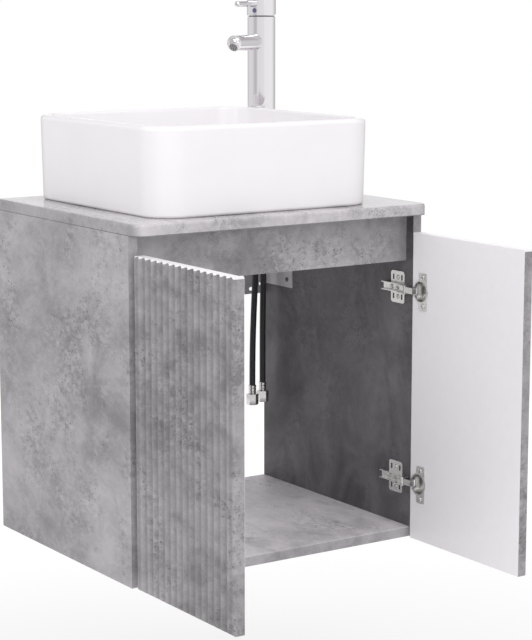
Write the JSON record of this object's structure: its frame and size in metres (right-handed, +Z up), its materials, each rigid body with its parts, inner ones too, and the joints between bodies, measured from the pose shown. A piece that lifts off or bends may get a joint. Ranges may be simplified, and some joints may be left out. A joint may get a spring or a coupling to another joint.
{
  "type": "wall-hung vanity unit",
  "caption": "Wall-hung vanity cabinet with fluted doors on concealed hinges, an open back, a worktop, a square vessel basin with pop-up waste and trap, and a tall lever mixer tap.",
  "frame": {"origin": "in the wall plane, midway between the two slots that hang the unit", "axes": "+X to the right seen from the front, +Y into the wall, +Z up"},
  "size_m": [0.55, 0.7523, 0.8972],
  "materials": {
    "concrete_board": "particle board with a concrete-look foil",
    "door_board": "fluted board, concrete-look foil outside and white inside",
    "dowel_wood": "plain hardwood",
    "zinc_cam": "die-cast",
    "nickel_steel": "nickel-plated",
    "bracket_steel": "light grey",
    "white_ceramic": "opaque white glaze",
    "chrome": "polished",
    "white_plastic": "smooth",
    "grey_plastic": "smooth",
    "stem_metal": "machined",
    "black_rubber": "matt"
  },
  "bodies": {
    "carcass": {"left_side_panel": "concrete_board", "right_side_panel": "concrete_board", "base_panel": "concrete_board", "front_rail": "concrete_board", "worktop": "concrete_board", "left_wall_bracket": "bracket_steel", "right_wall_bracket": "bracket_steel", "bracket_screws": "nickel_steel", "dowels": "dowel_wood", "cam_locks": "zinc_cam", "cam_bolts": "nickel_steel", "arm_pins": "nickel_steel", "plate_screws": "nickel_steel", "arm_screws": "nickel_steel", "basin": "white_ceramic", "waste_flange": "chrome", "waste_seals": "black_rubber", "waste_nut": "chrome", "trap_nuts": "white_plastic", "trap_body": "white_plastic", "trap_cup": "white_plastic", "outlet_tube": "chrome", "wall_rosette": "chrome", "tap_body": "chrome", "tap_spout": "chrome", "aerator": "grey_plastic", "cartridge": "grey_plastic", "tap_gasket": "black_rubber", "tap_stud": "nickel_steel", "tap_washer": "nickel_steel", "tap_nut": "nickel_steel", "cold_hose": "black_rubber", "hot_hose": "black_rubber", "hose_nuts": "nickel_steel", "left_upper_hinge_plate": "nickel_steel", "left_upper_hinge_arm": "nickel_steel", "left_lower_hinge_plate": "nickel_steel", "left_lower_hinge_arm": "nickel_steel", "right_upper_hinge_plate": "nickel_steel", "right_upper_hinge_arm": "nickel_steel", "right_lower_hinge_plate": "nickel_steel", "right_lower_hinge_arm": "nickel_steel"},
    "right_hinge_links": {"right_upper_hinge_link": "nickel_steel", "right_lower_hinge_link": "nickel_steel"},
    "right_door": {"right_door": "door_board", "right_upper_hinge_cup": "nickel_steel", "right_lower_hinge_cup": "nickel_steel", "right_cup_pins": "nickel_steel", "right_cup_screws": "nickel_steel"},
    "left_hinge_links": {"left_upper_hinge_link": "nickel_steel", "left_lower_hinge_link": "nickel_steel"},
    "left_door": {"left_door": "door_board", "left_upper_hinge_cup": "nickel_steel", "left_lower_hinge_cup": "nickel_steel", "left_cup_pins": "nickel_steel", "left_cup_screws": "nickel_steel"},
    "waste_plug": {"waste_plug": "chrome"},
    "tap_stem": {"cartridge_stem": "stem_metal"},
    "tap_handle": {"tap_handle": "chrome", "tap_lever": "chrome"}
  },
  "joints": [
    {"name": "right_link_swing", "type": "hinge", "parent": "carcass", "child": "right_hinge_links", "pos_m": [0.246, -0.432, 0], "axis": [0, 0, 1], "range_deg": [-5, 41]},
    {"name": "right_door_swing", "type": "hinge", "parent": "right_hinge_links", "child": "right_door", "pos_m": [0.2556, -0.45263, 0], "axis": [0, 0, 1], "range_deg": [-130.36, 14.48]},
    {"name": "left_link_swing", "type": "hinge", "parent": "carcass", "child": "left_hinge_links", "pos_m": [-0.246, -0.432, 0], "axis": [0, 0, -1], "range_deg": [-5, 41]},
    {"name": "left_door_swing", "type": "hinge", "parent": "left_hinge_links", "child": "left_door", "pos_m": [-0.2556, -0.45263, 0], "axis": [0, 0, -1], "range_deg": [-130.36, 14.48]},
    {"name": "plug_lift", "type": "slide", "parent": "carcass", "child": "waste_plug", "axis": [0, 0, 1], "range_m": [0, 0.008]},
    {"name": "handle_turn", "type": "hinge", "parent": "carcass", "child": "tap_stem", "pos_m": [0.226, -0.041, 0.495], "axis": [0, 0, 1], "range_deg": [-45, 45]},
    {"name": "handle_lift", "type": "hinge", "parent": "tap_stem", "child": "tap_handle", "pos_m": [0.226, -0.041, 0.5042], "axis": [-0.4695, 0.8829, 0], "range_deg": [0, 16]}
  ],
  "couplings": [
    {"joint": "right_link_swing", "follows": "right_door_swing", "ratio": -0.30961},
    {"joint": "left_link_swing", "follows": "left_door_swing", "ratio": -0.30961}
  ]
}
